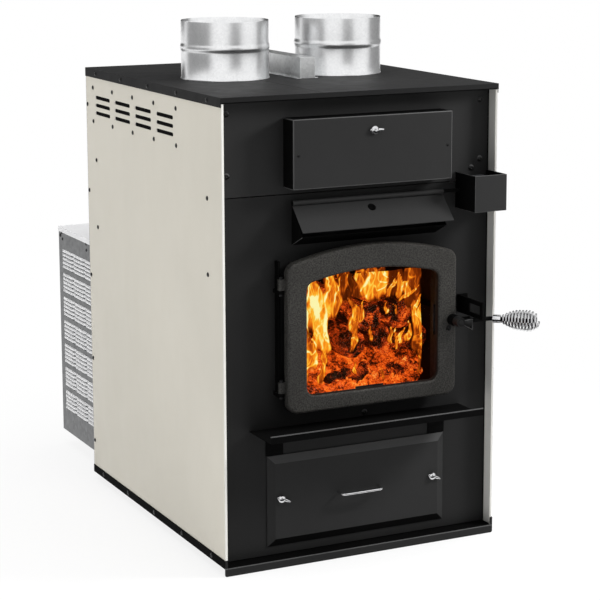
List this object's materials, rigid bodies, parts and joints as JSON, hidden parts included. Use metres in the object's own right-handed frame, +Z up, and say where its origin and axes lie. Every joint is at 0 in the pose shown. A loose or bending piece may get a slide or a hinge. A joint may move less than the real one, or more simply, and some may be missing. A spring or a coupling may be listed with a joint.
{
  "type": "wood furnace",
  "caption": "Forced-air wood furnace: sheet-metal casing with duct collars on top, glazed loading door with a coil-grip latch, ash drawer, air flap and rear blower cabinet.",
  "frame": {"origin": "on the floor, under the middle of the casing, on the underside of the centre runner", "axes": "+Z up, +X to the right as seen from the loading door, +Y to the back; the door faces -Y"},
  "size_m": [0.7304, 1.2969, 1.184],
  "materials": {
    "cream_paint": "satin",
    "black_paint": "satin",
    "galvanised": "spangled",
    "cast_iron": "sand-cast, painted",
    "steel_plate": "raw rolled plate",
    "chrome": "polished",
    "black_steel": "black oxide",
    "ceramic_glass": "clear",
    "firebrick": "matte",
    "rope": "woven glass fibre",
    "baffle": "fibre board",
    "log_bark": "charred",
    "ember": "glowing",
    "filter_fibre": "pleated",
    "motor_case": "matte"
  },
  "bodies": {
    "casing": {"base_tray": "black_paint", "base_runners": "black_steel", "left_side_panel": "cream_paint", "right_side_panel": "cream_paint", "vent_backing_plate": "black_paint", "rear_panel": "black_paint", "top_panel": "black_paint", "hot_air_collar_left": "galvanised", "hot_air_collar_right": "galvanised", "wire_channel": "galvanised", "front_posts": "black_steel", "upper_front_panel": "black_paint", "lower_front_panel": "black_paint", "firebox_shell": "steel_plate", "throat_ring": "steel_plate", "firebricks": "firebrick", "ash_plug": "cast_iron", "secondary_air_tubes": "steel_plate", "baffle_boards": "baffle", "smoke_boxes": "steel_plate", "exchanger_tubes": "steel_plate", "flue_collar": "black_steel", "cleanout_plate": "steel_plate", "cleanout_frame": "black_paint", "hinge_bar": "black_paint", "hinge_pins": "black_steel", "latch_catch": "black_paint", "hearth_shelf": "black_paint", "intake_box": "black_paint", "actuator_housing": "black_paint", "damper_motor": "motor_case", "ash_rails": "black_steel", "panel_screws": "black_steel", "blower_cabinet": "galvanised", "cabinet_sides": "galvanised", "cabinet_lid": "galvanised", "air_filters": "filter_fibre", "blower_housing": "galvanised", "blower_motor": "motor_case", "split_logs": "log_bark", "ember_bed": "ember"},
    "door": {"door_casting": "cast_iron", "door_glass": "ceramic_glass", "door_gaskets": "rope", "glass_clips": "black_steel", "latch_boss": "black_steel"},
    "handle": {"handle_bar": "black_steel", "handle_ferrule": "chrome", "coil_grip": "chrome"},
    "cover": {"cleanout_cover": "black_paint"},
    "cover_latch": {"cover_latch": "chrome"},
    "flap": {"intake_flap": "black_paint", "flap_shaft": "black_steel"},
    "drawer": {"drawer_front": "black_paint", "ash_pan": "black_steel", "drawer_handle": "chrome"},
    "drawer_latch_left": {"drawer_latch_left": "chrome"},
    "drawer_latch_right": {"drawer_latch_right": "chrome"},
    "wheel": {"blower_wheel": "galvanised"}
  },
  "joints": [
    {"name": "door_hinge", "type": "hinge", "parent": "casing", "child": "door", "pos_m": [-0.199, -0.403, 0.523], "axis": [0, 0, -1], "range_deg": [0, 115]},
    {"name": "handle_turn", "type": "hinge", "parent": "door", "child": "handle", "pos_m": [0.22, -0.423, 0.523], "axis": [0, 1, 0], "range_deg": [0, 60]},
    {"name": "cover_tilt", "type": "hinge", "parent": "casing", "child": "cover", "pos_m": [0.0164, -0.3788, 0.8455], "axis": [1, 0, 0], "range_deg": [0, 28]},
    {"name": "cover_latch_turn", "type": "hinge", "parent": "cover", "child": "cover_latch", "pos_m": [0.0164, -0.428, 0.965], "axis": [0, 1, 0], "range_deg": [0, 90]},
    {"name": "flap_swing", "type": "hinge", "parent": "casing", "child": "flap", "pos_m": [0.0195, -0.397, 0.813], "axis": [-1, 0, 0], "range_deg": [-10, 45]},
    {"name": "drawer_slide", "type": "slide", "parent": "casing", "child": "drawer", "axis": [0, -1, 0], "range_m": [0, 0.4]},
    {"name": "drawer_latch_left_turn", "type": "hinge", "parent": "drawer", "child": "drawer_latch_left", "pos_m": [-0.192, -0.387, 0.15], "axis": [0, 1, 0], "range_deg": [0, 90]},
    {"name": "drawer_latch_right_turn", "type": "hinge", "parent": "drawer", "child": "drawer_latch_right", "pos_m": [0.192, -0.387, 0.15], "axis": [0, 1, 0], "range_deg": [0, 90]},
    {"name": "blower_spin", "type": "hinge", "parent": "casing", "child": "wheel", "pos_m": [0, 0.583, 0.29], "axis": [1, 0, 0], "continuous": true}
  ]
}
